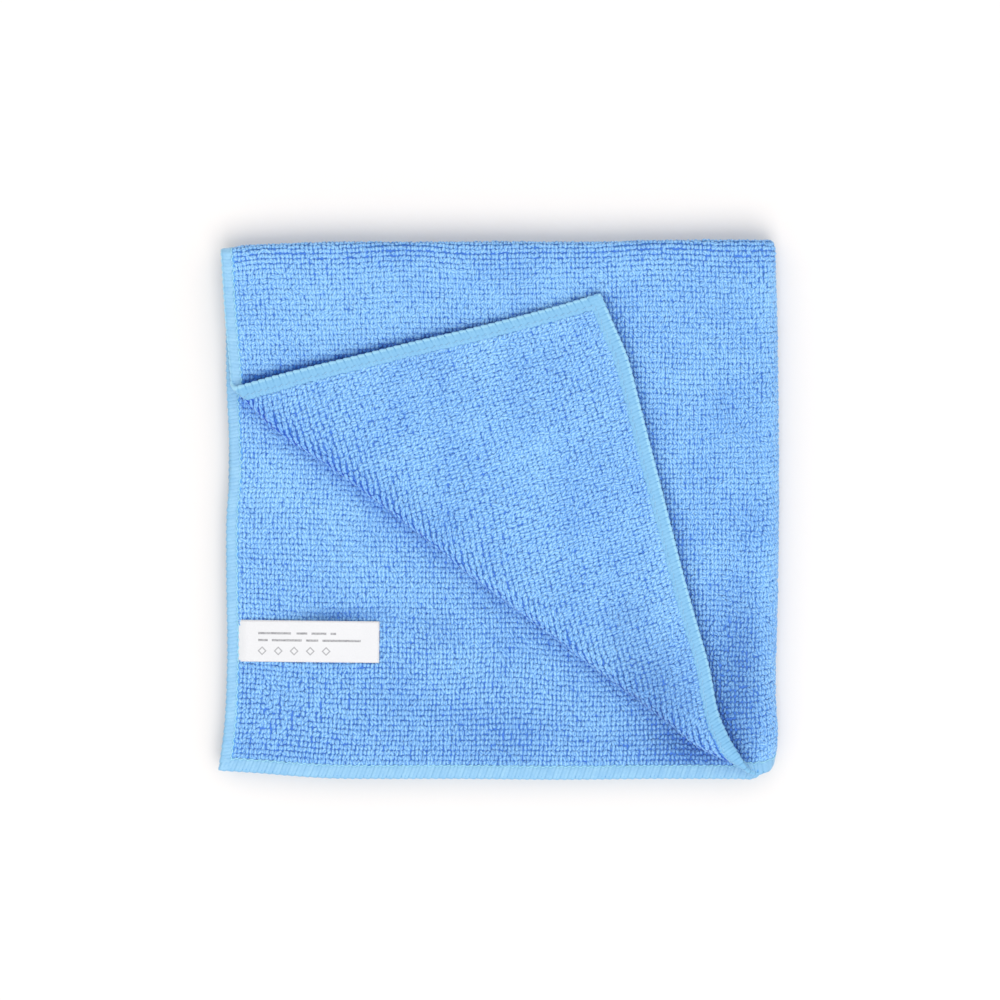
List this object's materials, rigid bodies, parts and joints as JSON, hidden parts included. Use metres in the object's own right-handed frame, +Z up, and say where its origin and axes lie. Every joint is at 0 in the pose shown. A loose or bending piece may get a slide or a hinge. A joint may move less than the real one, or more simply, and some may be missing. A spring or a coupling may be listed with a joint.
{
  "type": "microfibre cloth",
  "caption": "Square looped-pile microfibre cleaning cloth, folded in quarters and lying flat, one corner of its top layer turned back over a small white tape label.",
  "frame": {"origin": "on the surface the cloth lies on, under the middle of its bounding box", "axes": "+Z up, away from the surface; +Y towards the first fold, where the cloth is folded in half; +X towards the second fold, so the open hems are at -X and -Y"},
  "size_m": [0.2051, 0.1975, 0.019],
  "materials": {
    "microfibre": "looped microfibre pile, matte, with lighter overlocked hems",
    "label_tape": "smooth white satin tape"
  },
  "bodies": {
    "root": {"cloth": "microfibre", "label": "label_tape"}
  },
  "joints": []
}
